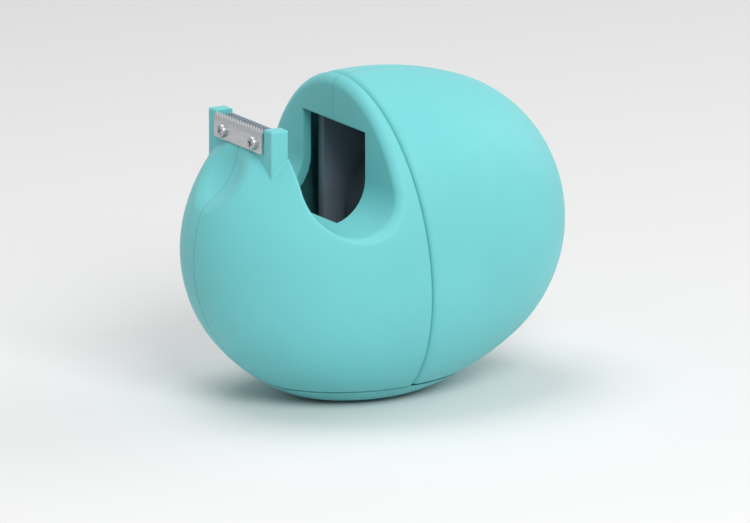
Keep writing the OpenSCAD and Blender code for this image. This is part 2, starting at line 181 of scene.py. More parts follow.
class StageSizes(PropertyGroup):
    """Place of the camera, seen from the middle of the ring."""
    turn: degrees("Camera's turn round the object", -29.8)
    rise: degrees("Camera's height angle", 13.8)
    distance: length("From the ring's middle to the camera", 2500)
    across: length("Camera's step to its right", 3.74)
    down: length("Camera's step down", 5.93)
    lens: FloatProperty(description="Focal length for a 36 mm sensor", default=531.7,
                        subtype="DISTANCE_CAMERA")


# Selection, copies and modifiers

def select_none():
    """Leaves edit mode and deselects everything."""
    if bpy.context.object and bpy.context.mode != "OBJECT":
        bpy.ops.object.mode_set(mode="OBJECT")
    bpy.ops.object.select_all(action="DESELECT")


def take(piece):
    """Makes one piece the only selected and active one."""
    select_none()
    piece.select_set(True)
    bpy.context.view_layer.objects.active = piece
    return piece


def edit(piece):
    """Opens a piece in edit mode with all of it selected."""
    take(piece)
    bpy.ops.object.mode_set(mode="EDIT")
    bpy.ops.mesh.select_all(action="SELECT")


def close_edit():
    bpy.ops.object.mode_set(mode="OBJECT")


def edit_picked(piece, kind, picked):
    """Opens a piece in edit mode with only the picked elements of one kind selected."""
    edit(piece)
    bpy.ops.mesh.select_mode(type=kind)
    bpy.ops.mesh.select_all(action="DESELECT")
    close_edit()
    mesh = piece.data
    elements = {"VERT": mesh.vertices, "EDGE": mesh.edges, "FACE": mesh.polygons}[kind]
    elements.foreach_set("select", picked)
    bpy.ops.object.mode_set(mode="EDIT")
    bpy.ops.mesh.select_mode(type=kind)


def added(name):
    """Names the piece that was just added or joined."""
    piece = bpy.context.object
    piece.name = name
    piece.data.name = name
    return piece


def settle(piece):
    """Puts a piece's place, turn and scale into its mesh."""
    take(piece)
    bpy.ops.object.transform_apply(location=True, rotation=True, scale=True)
    return piece


def apply_modifiers(piece):
    take(piece)
    for modifier in list(piece.modifiers):
        bpy.ops.object.modifier_apply(modifier=modifier.name)


def node_copy(node, name):
    """A copy of a solid's mesh with its loose triangles merged."""
    mesh = frame["nodes"][node].data.copy()
    mesh.name = name
    mesh.materials.clear()
    piece = bpy.data.objects.new(name, mesh)
    bpy.context.scene.collection.objects.link(piece)
    edit(piece)
    bpy.ops.mesh.customdata_custom_splitnormals_clear()
    bpy.ops.mesh.remove_doubles(threshold=MERGE)
    close_edit()
    return piece


def bevel(piece, width, segments=2, angle=35):
    modifier = piece.modifiers.new("Bevel", "BEVEL")
    modifier.width = width
    modifier.segments = segments
    modifier.limit_method = "ANGLE"
    modifier.angle_limit = math.radians(angle)
    modifier.use_clamp_overlap = True
    apply_modifiers(piece)


def smooth(piece, angle=35):
    take(piece)
    bpy.ops.object.shade_smooth_by_angle(angle=math.radians(angle))


def softened_copy(node, name, width, segments=2):
    """A copy of a solid with whole flat faces and bevelled edges."""
    piece = node_copy(node, name)
    edit(piece)
    bpy.ops.mesh.dissolve_limited(angle_limit=FLAT_TURN)
    close_edit()
    bevel(piece, width, segments)
    smooth(piece)
    return piece


def cut_away(piece, tools):
    """Cuts the tools out of a piece and removes them."""
    for tool in tools:
        cut = piece.modifiers.new("Cut", "BOOLEAN")
        cut.operation = "DIFFERENCE"
        cut.solver = "EXACT"
        cut.object = tool
    apply_modifiers(piece)
    for tool in tools:
        bpy.data.objects.remove(tool)


def hand_over(piece, body, slot, material, *nodes):
    """Gives a finished piece its finish and its body, and hides the solids it stands for."""
    piece.data.materials.clear()
    piece.data.materials.append(material)
    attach(piece, body)
    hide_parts(*nodes)


def dress(node, material):
    """Gives a solid that stays in view its finish."""
    mesh = frame["nodes"][node].data
    mesh.materials.clear()
    mesh.materials.append(material)


# Forms of the moulded skins: depth is below zero inside a form

def ring_middle(egg):
    """Middle of the ring seam in the part's frame."""
    shoulder = long_radius(egg.ring_radius, egg.front, egg.front_end)
    drop = egg.ring_radius + (shoulder - egg.ring_radius) * (1 - math.cos(egg.lean))
    front = (egg.front - egg.front_end) * math.cos(egg.lean) + egg.front_end
    rear = (egg.rear - egg.rear_end) * math.cos(egg.lean) + egg.rear_end
    return Vector(((front - rear) / 2, 0, egg.pad_height - egg.base_cut + drop))


def long_radius(ring, reach, end):
    """Radius of the long arc between an end of the egg and its ring."""
    return (ring ** 2 + (reach - end) ** 2 - end ** 2) / (2 * (ring - end))


def upright(points, egg):
    """Points seen from the ring's middle."""
    return points - np.array(ring_middle(egg))


def leaning(points, egg):
    """Points in the egg's own leaning frame."""
    x, y, z = upright(points, egg).T
    c, s = math.cos(egg.lean), math.sin(egg.lean)
    return np.stack([x * c + z * s, y, z * c - x * s], axis=1)


def round_join(a, b, radius):
    """Depth of what two forms share, with a rounded outer edge."""
    edge = np.hypot(np.maximum(a + radius, 0), np.maximum(b + radius, 0))
    return np.minimum(np.maximum(a, b), -radius) + edge


def round_add(a, b, radius):
    """Depth of two forms together, with a rounded hollow between them."""
    return -round_join(-a, -b, radius)


def box_depth(points, low, high):
    low, high = np.array(low), np.array(high)
    away = np.abs(points - (low + high) / 2) - (high - low) / 2
    return np.linalg.norm(np.maximum(away, 0), axis=1) + np.minimum(away.max(axis=1), 0)


def egg_depth(spots, egg):
    """Depth in the whole egg, for points in its own frame."""
    x = spots[:, 0]
    r = np.hypot(spots[:, 1] * 2 * egg.ring_radius / egg.ring_width, spots[:, 2])
    ring = egg.ring_radius
    depth = np.empty(len(x))
    for rear, reach, end in ((False, egg.front, egg.front_end), (True, egg.rear, egg.rear_end)):
        here = (x >= 0) == rear
        along, out = np.abs(x[here]), r[here]
        big = long_radius(ring, reach, end)
        middle = reach - end
        shoulder = np.hypot(along, out + big - ring) - big
        cap = np.hypot(along - middle, out) - end
        on_cap = (along - middle) * (big - ring) > out * middle
        depth[here] = np.where(on_cap, cap, shoulder)
    return depth


def notch_depth(spots, egg):
    x = spots[:, 0] + egg.notch_back + egg.notch_radius
    z = spots[:, 2] - egg.notch_floor - egg.notch_radius
    return np.where(z < 0, np.hypot(x, z), np.abs(x)) - egg.notch_radius


def bar_depth(spots, cutter, edges):
    """Depth in the upright cutter bar with its rounded edges."""
    half, front, r = cutter.bar_width / 2, cutter.bar_front, edges.bar
    low = (-front + r, -half + r, cutter.bar_top - cutter.bar_height + r)
    high = (-front + cutter.bar_depth - r, half - r, cutter.bar_top - r)
    return box_depth(spots, low, high) - r


RIM_CHANGE = 0.6  # share of the notch's radius over which its edge becomes the hood's


def front_depth(points, egg, cutter, edges):
    """Depth in the front body, taken as filled."""
    own, plumb = leaning(points, egg), upright(points, egg)
    middle = egg.notch_back + egg.notch_radius
    reach = RIM_CHANGE * egg.notch_radius
    rim = np.interp(plumb[:, 0], [-middle - reach, -middle + reach], [edges.notch, edges.hood])
    depth = round_join(egg_depth(own, egg), -notch_depth(plumb, egg), rim)
    dish = np.linalg.norm(plumb - np.array((-cutter.dish_front, 0, cutter.dish_up)), axis=1)
    depth = round_join(depth, cutter.dish_radius - dish, edges.dish)
    depth = round_join(depth, own[:, 0] + egg.ring_gap / 2, edges.ring_lip)
    half = egg.mouth_width / 2
    mouth = box_depth(plumb, (-egg.mouth_front, -half, -egg.mouth_bottom),
                      (egg.ring_radius, half, egg.mouth_top))
    depth = round_join(depth, -mouth, edges.mouth)
    depth = round_add(depth, bar_depth(plumb, cutter, edges), edges.bar_root)
    half, past = cutter.rest_width / 2, cutter.bar_height / 2
    front, top = -cutter.bar_front, cutter.bar_top + past
    rest = box_depth(plumb, (front - past, -half, cutter.rest_floor), (front + past, half, top))
    depth = round_join(depth, -rest, edges.seat)
    blade = box_depth(plumb, (front - past, -half, cutter.blade_floor), (front, half, top))
    depth = round_join(depth, -blade, edges.seat)
    return round_join(depth, egg.base_top - points[:, 2], edges.base)


def rear_depth(points, egg, edges):
    """Depth in the rear cover, taken as filled."""
    own = leaning(points, egg)
    slant = edges.ring_roll / edges.ring_reach
    depth = round_join(egg_depth(own, egg), slant * (egg.ring_gap / 2 - own[:, 0]), edges.ring_roll)
    return round_join(depth, egg.base_top + egg.cover_lift - points[:, 2], edges.base)


def base_depth(points, egg, edges):
    """Depth in the slice of the egg that closes it below."""
    depth = round_join(egg_depth(leaning(points, egg), egg), egg.pad_height - points[:, 2], edges.base)
    return round_join(depth, points[:, 2] - egg.base_top, edges.seat)


RING_MARGIN = 0.6 * MM  # from the ring seam to the walls behind it that stay as they are
RING_WALL = 1.9 * MM  # depth of those walls under the egg's outside
BASE_RIM = 1.0 * MM  # depth of the base plate's rim under the egg's outside


def front_skin(points, egg):
    """Which points may be drawn onto the front body: all but those of its spigot."""
    own = leaning(points, egg)
    return (own[:, 0] < -RING_MARGIN) | (egg_depth(own, egg) > -RING_WALL)


def rear_skin(points, egg, edges):
    """Which points may be drawn onto the rear cover: all but the inner wall at its ring seam."""
    own = leaning(points, egg)
    inner = (own[:, 0] > RING_MARGIN) & (own[:, 0] < edges.ring_reach)
    return ~inner | (egg_depth(own, egg) > -RING_WALL)


def base_skin(points, egg):
    """Which points may be drawn onto the base plate: those of its rim."""
    return egg_depth(leaning(points, egg), egg) > -BASE_RIM


# Moulding of the skins: reaches are shares of a cell

PARTING_REACH = 0.55  # points this near the middle plane lie in a half's parting face
RIM_REACH = 0.6  # points of that face this deep under the skin are its rim
SKIN_REACH = 1.3  # other points this deep under the skin are drawn onto it
HALF_REACH = 0.3  # points this far past the middle plane still belong to a half
DRAW_ROUNDS = 8
DRAW_STEP = 0.9  # share of the way to the skin that one round goes
LEAST_STEEP = 0.2  # keeps a round's moves short where the depth hardly changes
TIGHT_TURN = math.radians(30)  # cells over which a skin turns more than this are halved
SPLITS = 2  # how often they are halved


def read_points(mesh):
    flat = np.empty(len(mesh.vertices) * 3)
    mesh.vertices.foreach_get("co", flat)
    return flat.reshape(-1, 3)


def write_points(mesh, points):
    mesh.vertices.foreach_set("co", points.ravel())
    mesh.update()


def slope_of(skin, points):
    """Direction out of a form, and how fast its depth changes that way."""
    step = 2e-6
    rises = [skin(points + move) - skin(points - move) for move in np.eye(3) * step]
    return np.stack(rises, axis=1) / (2 * step)


def unit(vectors):
    return vectors / np.maximum(np.linalg.norm(vectors, axis=1), 1e-6)[:, None]


def drawn_onto(skin, points, held):
    """Points moved onto a form. Held points stay in their parting face."""
    for _ in range(DRAW_ROUNDS):
        slope = slope_of(skin, points)
        slope[held, 1] = 0
        steep = np.maximum((slope ** 2).sum(axis=1), LEAST_STEEP)
        points = points - (DRAW_STEP * skin(points) / steep)[:, None] * slope
    return points


def calm(piece, picked):
    """Smooths the picked points of a piece a little."""
    group = piece.vertex_groups.new(name="picked")
    group.add(np.flatnonzero(picked).tolist(), 1.0, "REPLACE")
    modifier = piece.modifiers.new("Calm", "SMOOTH")
    modifier.factor = 0.5
    modifier.iterations = 3
    modifier.vertex_group = group.name
    apply_modifiers(piece)
    piece.vertex_groups.clear()


def split_tight_edges(piece, skin, drawn):
    """Halves the cells where a drawn skin turns sharply, and says which points are drawn then."""
    mesh = piece.data
    mark = mesh.attributes.new("drawn", "FLOAT", "POINT")
    mark.data.foreach_set("value", drawn.astype(np.float32))
    facing = np.zeros((len(drawn), 3))
    facing[drawn] = unit(slope_of(skin, read_points(mesh)[drawn]))
    ends = np.empty(len(mesh.edges) * 2, dtype=np.int32)
    mesh.edges.foreach_get("vertices", ends)
    one, other = ends.reshape(-1, 2).T
    sharp = (facing[one] * facing[other]).sum(axis=1) < math.cos(TIGHT_TURN)
    tight = sharp & drawn[one] & drawn[other]
    picked = np.zeros(len(drawn), dtype=bool)
    picked[one[tight]] = True
    picked[other[tight]] = True
    edit_picked(piece, "VERT", picked)
    bpy.ops.mesh.select_more()
    bpy.ops.mesh.subdivide(number_cuts=1, ngon=False)
    close_edit()
    mark = mesh.attributes["drawn"]
    share = np.empty(len(mesh.vertices), dtype=np.float32)
    mark.data.foreach_get("value", share)
    mesh.attributes.remove(mark)
    return share > 0.75  # a new point between a drawn and another point has a half


def set_normals(mesh, normals, parted, side):
    """Sets a mesh's normals. Faces in a half's parting face stay flat, with a sharp edge."""
    corner = np.empty(len(mesh.loops), dtype=np.int32)
    mesh.loops.foreach_get("vertex_index", corner)
    first = np.empty(len(mesh.polygons), dtype=np.int32)
    mesh.polygons.foreach_get("loop_start", first)
    whole = np.logical_and.reduceat(parted[corner], first)
    at_corner = normals[corner]
    at_corner[np.repeat(whole, np.diff(np.append(first, len(corner))))] = (0, -side, 0)
    mesh.normals_split_custom_set(at_corner.tolist())


def mould(node, name, skin, edges, keep, side=0):
    """Builds a moulded skin: an even mesh of the solid, drawn onto its rounded form.

    skin gives the depth in the form and keep the points that may be drawn onto it. The
    rest, inside the piece, are only smoothed. A half is also made flat at its parting
    face, with a sharp edge there: side is 1 for a left half and -1 for a right one.
    """
    piece = node_copy(node, name)
    cells = piece.modifiers.new("Cells", "REMESH")
    cells.mode = "VOXEL"
    cells.voxel_size = edges.cell
    cells.use_smooth_shade = True
    apply_modifiers(piece)
    mesh = piece.data
    points = read_points(mesh)
    depth = skin(points)
    allowed = keep(points) & (side * points[:, 1] > -HALF_REACH * edges.cell)
    flat = np.full(len(points), side != 0) & (np.abs(points[:, 1]) < PARTING_REACH * edges.cell)
    rim = flat & allowed & (depth > -RIM_REACH * edges.cell)
    near = (depth > -SKIN_REACH * edges.cell) & (depth < 2 * edges.hood)
    drawn = rim | (allowed & ~flat & near)
    calm(piece, ~(drawn | flat))

    points = read_points(mesh)
    points[flat, 1] = side * edges.parting
    points[drawn] = drawn_onto(skin, points[drawn], rim[drawn])
    write_points(mesh, points)
    for _ in range(SPLITS):
        drawn = split_tight_edges(piece, skin, drawn)
        points = read_points(mesh)
        off_parting = np.abs(points[:, 1] - side * edges.parting)
        flat = np.full(len(points), side != 0) & (off_parting < 0.1 * MERGE)
        points[drawn] = drawn_onto(skin, points[drawn], flat[drawn])
        write_points(mesh, points)
    take(piece)
    bpy.ops.object.shade_smooth()

    normals = np.empty(len(points) * 3)
    mesh.vertex_normals.foreach_get("vector", normals)
    normals = normals.reshape(-1, 3)
    normals[drawn] = unit(slope_of(skin, points[drawn]))
    set_normals(mesh, normals, flat, side)
    return piece


# Node groups and materials

def new_group(name, inputs, outputs):
    """An empty shader node group with a vector and named values."""
    group = bpy.data.node_groups.new(name, "ShaderNodeTree")
    group.interface.new_socket("Vector", in_out="INPUT", socket_type="NodeSocketVector")
    for socket in inputs:
        group.interface.new_socket(socket, in_out="INPUT", socket_type="NodeSocketFloat")
    for socket in outputs:
        group.interface.new_socket(socket, in_out="OUTPUT", socket_type="NodeSocketFloat")
    return group, group.nodes.new("NodeGroupInput"), group.nodes.new("NodeGroupOutput")


def noise(tree, vector, scale, detail=2.0, roughness=0.5):
    node = tree.nodes.new("ShaderNodeTexNoise")
    node.inputs["Detail"].default_value = detail
    node.inputs["Roughness"].default_value = roughness
    tree.links.new(vector, node.inputs["Vector"])
    if isinstance(scale, (int, float)):
        node.inputs["Scale"].default_value = scale
    else:
        tree.links.new(scale, node.inputs["Scale"])
    return node.outputs["Fac"]


def spread(tree, value, low, high, to_low=0.0, to_high=1.0):
    """Maps a value from one range to another and clamps it."""
    node = tree.nodes.new("ShaderNodeMapRange")
    for socket, number in zip(("From Min", "From Max", "To Min", "To Max"),
                              (low, high, to_low, to_high)):
        node.inputs[socket].default_value = number
    tree.links.new(value, node.inputs["Value"])
    return node.outputs["Result"]


def maths(tree, operation, a, b):
    node = tree.nodes.new("ShaderNodeMath")
    node.operation = operation
    for socket, value in zip(node.inputs, (a, b)):
        if isinstance(value, (int, float)):
            socket.default_value = value
        else:
            tree.links.new(value, socket)
    return node.outputs["Value"]


def blend(tree, factor, first, second):
    """Mixes two colours by a factor."""
    node = tree.nodes.new("ShaderNodeMix")
    node.data_type = "RGBA"
    tree.links.new(factor, node.inputs["Factor"])
    for socket, value in ((node.inputs[6], first), (node.inputs[7], second)):
        if isinstance(value, (tuple, list)):
            socket.default_value = (*value, 1.0)
        else:
            tree.links.new(value, socket)
    return node.outputs[2]


def moulded_grain():
    """Fine grain of a moulded or coated surface, and its slow changes of tone."""
    group, start, end = new_group("Moulded grain", ("Grain", "Mottle"), ("Height", "Tone"))
    vector, grain = start.outputs["Vector"], start.outputs["Grain"]
    fine = noise(group, vector, grain, 2.0, 0.6)
    coarse = noise(group, vector, maths(group, "MULTIPLY", grain, 0.23), 1.0)
    height = maths(group, "ADD", fine, maths(group, "MULTIPLY", coarse, 0.6))
    tone = noise(group, vector, start.outputs["Mottle"], 3.0, 0.55)
    group.links.new(height, end.inputs["Height"])
    group.links.new(spread(group, tone, 0.3, 0.7), end.inputs["Tone"])
    return group


def light_wear():
    """Sparse fine scuffs and faint finger marks from handling."""
    group, start, end = new_group("Light wear", ("Scale",), ("Scuffs", "Touch"))
    vector, scale = start.outputs["Vector"], start.outputs["Scale"]
    stretch = group.nodes.new("ShaderNodeMapping")
    stretch.inputs["Rotation"].default_value = (0.4, 0.9, 0.3)
    stretch.inputs["Scale"].default_value = (1.0, 9.0, 1.6)
    group.links.new(vector, stretch.inputs["Vector"])
    lines = spread(group, noise(group, stretch.outputs["Vector"], scale, 2.0, 0.6), 0.66, 0.74)
    where = noise(group, vector, maths(group, "MULTIPLY", scale, 0.12), 1.0)
    scuffs = maths(group, "MULTIPLY", lines, spread(group, where, 0.52, 0.62))
    touch = noise(group, vector, maths(group, "MULTIPLY", scale, 0.2), 2.0)
    group.links.new(scuffs, end.inputs["Scuffs"])
    group.links.new(spread(group, touch, 0.4, 0.65), end.inputs["Touch"])
    return group


def drawn_lines():
    """Fine lines along one direction, as on rolled, ground or turned metal."""
    group, start, end = new_group("Drawn lines", ("Scale",), ("Lines", "Stain"))
    vector, scale = start.outputs["Vector"], start.outputs["Scale"]
    fine = noise(group, vector, scale, 3.0, 0.65)
    wide = noise(group, vector, maths(group, "MULTIPLY", scale, 0.2), 2.0)
    lines = maths(group, "ADD", maths(group, "MULTIPLY", fine, 0.7),
                  maths(group, "MULTIPLY", wide, 0.3))
    group.links.new(spread(group, lines, 0.3, 0.7), end.inputs["Lines"])
    group.links.new(spread(group, wide, 0.55, 0.75), end.inputs["Stain"])
    return group


class Finish:
    """A material under construction: its tree, its shader and its coordinates."""

    def __init__(self, name):
        self.material = bpy.data.materials.new(name)
        self.material.use_nodes = True
        self.tree = self.material.node_tree
        self.shader = self.tree.nodes["Principled BSDF"]
        self.place = self.tree.nodes.new("ShaderNodeTexCoord").outputs["Object"]

    def stretched(self, scale, turn=(0, 0, 0), move=(0, 0, 0)):
        node = self.tree.nodes.new("ShaderNodeMapping")
        node.inputs["Scale"].default_value = scale
        node.inputs["Rotation"].default_value = turn
        node.inputs["Location"].default_value = move
        self.tree.links.new(self.place, node.inputs["Vector"])
        return node.outputs["Vector"]

    def group(self, group, vector=None, **values):
        node = self.tree.nodes.new("ShaderNodeGroup")
        node.node_tree = group
        self.tree.links.new(vector or self.place, node.inputs["Vector"])
        for socket, value in values.items():
            node.inputs[socket].default_value = value
        return node.outputs

    def feed(self, socket, value):
        self.tree.links.new(value, self.shader.inputs[socket])

    def bump(self, height, strength, distance):
        node = self.tree.nodes.new("ShaderNodeBump")
        node.inputs["Strength"].default_value = strength
        node.inputs["Distance"].default_value = distance
        self.tree.links.new(height, node.inputs["Height"])
        self.feed("Normal", node.outputs["Normal"])

    def plain(self, **values):
        for socket, value in values.items():
            self.shader.inputs[socket.replace("_", " ")].default_value = value


def shade(base, factor):
    return tuple(min(1.0, c * factor) for c in base)


def soft_touch(name, base, grain):
    """Matt soft-touch coating: a very fine grain, slow tone changes and faint handling."""
    finish = Finish(name)
    skin = finish.group(GROUPS["grain"], Grain=grain, Mottle=55.0)
    wear = finish.group(GROUPS["wear"], Scale=260.0)
    tone = blend(finish.tree, skin["Tone"], shade(base, 0.965), shade(base, 1.02))
    worn = maths(finish.tree, "MULTIPLY", wear["Scuffs"], 0.10)
    finish.feed("Base Color", blend(finish.tree, worn, tone, shade(base, 1.35)))
    even = spread(finish.tree, skin["Tone"], 0, 1, 0.54, 0.60)
    touched = maths(finish.tree, "MULTIPLY", wear["Touch"], 0.06)
    finish.feed("Roughness", maths(finish.tree, "SUBTRACT", even, touched))
    finish.bump(skin["Height"], 0.18, 0.00003)
    finish.plain(Specular_IOR_Level=0.36, Sheen_Weight=0.06, Sheen_Roughness=0.45)
    return finish.material


def moulded_plastic(name, base, rough, grain=2600.0, depth=0.00006):
    """Uncoated moulded plastic with a spark-eroded grain."""
    finish = Finish(name)
    skin = finish.group(GROUPS["grain"], Grain=grain, Mottle=90.0)
    wear = finish.group(GROUPS["wear"], Scale=420.0)
    tone = blend(finish.tree, skin["Tone"], shade(base, 0.86), shade(base, 1.14))
    worn = maths(finish.tree, "MULTIPLY", wear["Scuffs"], 0.35)
    finish.feed("Base Color", blend(finish.tree, worn, tone, shade(base, 2.4)))
    even = spread(finish.tree, skin["Tone"], 0, 1, rough - 0.03, rough + 0.05)
    touched = maths(finish.tree, "MULTIPLY", wear["Touch"], 0.05)
    finish.feed("Roughness", maths(finish.tree, "SUBTRACT", even, touched))
    finish.bump(skin["Height"], 0.3, depth)
    finish.plain(Specular_IOR_Level=0.42)
    return finish.material


def worked_metal(name, base, rough, stretch, scale):
    """Bare or plated metal with lines along the way it was worked."""
    finish = Finish(name)
    lines = finish.group(GROUPS["lines"], finish.stretched(stretch), Scale=scale)
    tone = blend(finish.tree, lines["Lines"], shade(base, 0.86), shade(base, 1.08))
    dull = maths(finish.tree, "MULTIPLY", lines["Stain"], 0.25)
    finish.feed("Base Color", blend(finish.tree, dull, tone, shade(base, 0.7)))
    finish.feed("Roughness", spread(finish.tree, lines["Lines"], 0, 1, rough + 0.1, rough - 0.05))
    finish.bump(lines["Lines"], 0.12, 0.00002)
    finish.plain(Metallic=1.0)
    return finish.material


def cast_iron(name, base):
    """Raw casting with a sandy skin."""
    finish = Finish(name)
    skin = finish.group(GROUPS["grain"], Grain=1400.0, Mottle=140.0)
    finish.feed("Base Color", blend(finish.tree, skin["Tone"], shade(base, 0.7), shade(base, 1.25)))
    finish.feed("Roughness", spread(finish.tree, skin["Tone"], 0, 1, 0.62, 0.78))
    finish.bump(skin["Height"], 0.6, 0.00025)
    finish.plain(Metallic=0.55)
    return finish.material


def foam_rubber(name, base):
    """Grip pad with open cells and a little dust."""
    finish = Finish(name)
    skin = finish.group(GROUPS["grain"], Grain=2100.0, Mottle=160.0)
    wear = finish.group(GROUPS["wear"], Scale=700.0)
    dusty = maths(finish.tree, "MULTIPLY", wear["Touch"], 0.22)
    tone = blend(finish.tree, skin["Tone"], shade(base, 0.8), shade(base, 1.3))
    finish.feed("Base Color", blend(finish.tree, dusty, tone, (0.09, 0.088, 0.084)))
    finish.feed("Roughness", spread(finish.tree, skin["Height"], 0.4, 1.1, 0.92, 0.78))
    finish.bump(skin["Height"], 0.7, 0.0002)
    finish.plain(Specular_IOR_Level=0.25)
    return finish.material


def wound_film(name, base, axle):
    """Clear film wound on a core: glossy outside, fine rings on its sides."""
    finish = Finish(name)
    tree = finish.tree
    centred = finish.stretched((1, 0, 1), move=(-axle.x, 0, -axle.z))
    far = tree.nodes.new("ShaderNodeVectorMath")
    far.operation = "LENGTH"
    tree.links.new(centred, far.inputs[0])
    ring = tree.nodes.new("ShaderNodeCombineXYZ")
    tree.links.new(far.outputs["Value"], ring.inputs["X"])
    layers = finish.group(GROUPS["lines"], ring.outputs["Vector"], Scale=9000.0)
    tone = blend(tree, layers["Lines"], shade(base, 0.8), shade(base, 1.25))
    hazy = maths(tree, "MULTIPLY", layers["Stain"], 0.4)
    finish.feed("Base Color", blend(tree, hazy, tone, shade(base, 1.8)))
    finish.feed("Roughness", spread(tree, layers["Lines"], 0, 1, 0.16, 0.30))
    finish.bump(layers["Lines"], 0.25, 0.00004)
    finish.plain(Specular_IOR_Level=0.55)
    return finish.material


GROUPS = {}
FINISHES = {}


class DISPENSER_OT_finishes(Operator):
    """Make the finishes that the pieces share"""
    bl_idname = "dispenser.finishes"
    bl_label = "Finishes"

    def execute(self, context):
        tint = context.scene.dispenser_colours
        low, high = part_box("axle_pin")
        axle = (low + high) / 2
        GROUPS.update(grain=moulded_grain(), wear=light_wear(), lines=drawn_lines())
        FINISHES.update(
            mint=soft_touch("Mint soft touch", tuple(tint.mint), 3600.0),
            charcoal=moulded_plastic("Charcoal plastic", tuple(tint.charcoal), 0.52),
            hub=moulded_plastic("Hub plastic", tuple(tint.hub), 0.46),
            core=moulded_plastic("Core plastic", shade(tint.hub, 1.3), 0.5),
            nylon=moulded_plastic("Washer nylon", tuple(tint.nylon), 0.4, 3200.0, 0.00002),
            steel=worked_metal("Blade steel", tuple(tint.steel), 0.26, (1, 0.06, 1), 5200.0),
            zinc=worked_metal("Zinc plate", tuple(tint.zinc), 0.34, (1, 1, 1), 2600.0),
            rubber=foam_rubber("Grip rubber", tuple(tint.rubber)),
            iron=cast_iron("Cast iron", tuple(tint.iron)),
            film=wound_film("Wound film", tuple(tint.film), axle))
        return {"FINISHED"}


class DISPENSER_OT_shells(Operator):
    """Mould the front halves, the rear cover halves and the base plate"""
    bl_idname = "dispenser.shells"
    bl_label = "Shells"

    def execute(self, context):
        scene = context.scene
        egg, cutter, edges = scene.dispenser_egg, scene.dispenser_cutter, scene.dispenser_edges
        ends = (
            ("front", "base", lambda points: front_depth(points, egg, cutter, edges),
             lambda points: front_skin(points, egg)),
            ("rear", "rear_cover", lambda points: rear_depth(points, egg, edges),
             lambda points: rear_skin(points, egg, edges)),
        )
        for side, word in ((1, "left"), (-1, "right")):
            for end, body, skin, keep in ends:
                node = end + "_shell_" + word
                piece = mould(node, end + "_skin_" + word, skin, edges, keep, side)
                hand_over(piece, body, "mint_shell", FINISHES["mint"], node)
        piece = mould("base_plate", "base_dish", lambda points: base_depth(points, egg, edges), edges,
                      lambda points: base_skin(points, egg))
        hand_over(piece, "base", "mint_shell", FINISHES["mint"], "base_plate")
        return {"FINISHED"}


class DISPENSER_OT_chassis(Operator):
    """Round the edges of the dark inner chassis"""
    bl_idname = "dispenser.chassis"
    bl_label = "Chassis"

    def execute(self, context):
        piece = softened_copy("chassis", "inner_frame", context.scene.dispenser_edges.chassis)
        hand_over(piece, "base", "dark_plastic", FINISHES["charcoal"], "chassis")
        dress("ballast_block", FINISHES["iron"])
        return {"FINISHED"}


def cylinder(name, sides, radius, low, high):
    """An upright cylinder between two heights."""
    select_none()
    bpy.ops.mesh.primitive_cylinder_add(vertices=sides, radius=radius, depth=high - low,
                                        location=(0, 0, (low + high) / 2))
    return settle(added(name))


def bevel_end(piece, height, width, segments):
    """Bevels the edges of a piece that lie at one height."""
    vertices = piece.data.vertices
    at_end = [all(abs(vertices[v].co.z - height) < MERGE for v in edge.vertices)
              for edge in piece.data.edges]
    edit_picked(piece, "EDGE", at_end)
    bpy.ops.mesh.bevel(offset=width, segments=segments, affect="EDGES")
    close_edit()


def screw(name, shank, radius, head_height, head_radius):
    """A cross-head screw that stands on its head, with z = 0 under the head."""
    crown, chamfer = 0.35 * head_height, 0.3 * radius
    bar_size = (1.15 * head_radius, 0.26 * head_radius, 1.1 * head_height)
    head = cylinder(name, 40, head_radius, -head_height, 0)
    bevel_end(head, -head_height, crown, 4)
    cross = []
    for turn in (0, math.pi / 2):
        select_none()
        bpy.ops.mesh.primitive_cube_add(size=1, location=(0, 0, -head_height), rotation=(0, 0, turn))
        bar = added("cross_bar")
        bar.scale = bar_size
        cross.append(settle(bar))
    cut_away(head, cross)
    stem = cylinder("stem", 32, radius, 0, shank)
    bevel_end(stem, shank, chamfer, 2)
    return join(head, [stem], name)


def join(first, others, name):
    take(first)
    for other in others:
        other.select_set(True)
    bpy.ops.object.join()
    return added(name)


def placed_copies(model, places, name):
    """Copies of one model at several places, each with its own mesh, joined into a group."""
    copies = []
    for place in places:
        mesh = model.data.copy()
        mesh.transform(place)
        copy = bpy.data.objects.new(name, mesh)
        bpy.context.scene.collection.objects.link(copy)
        copies.append(copy)
    bpy.data.objects.remove(model)
    return join(copies[0], copies[1:], name)


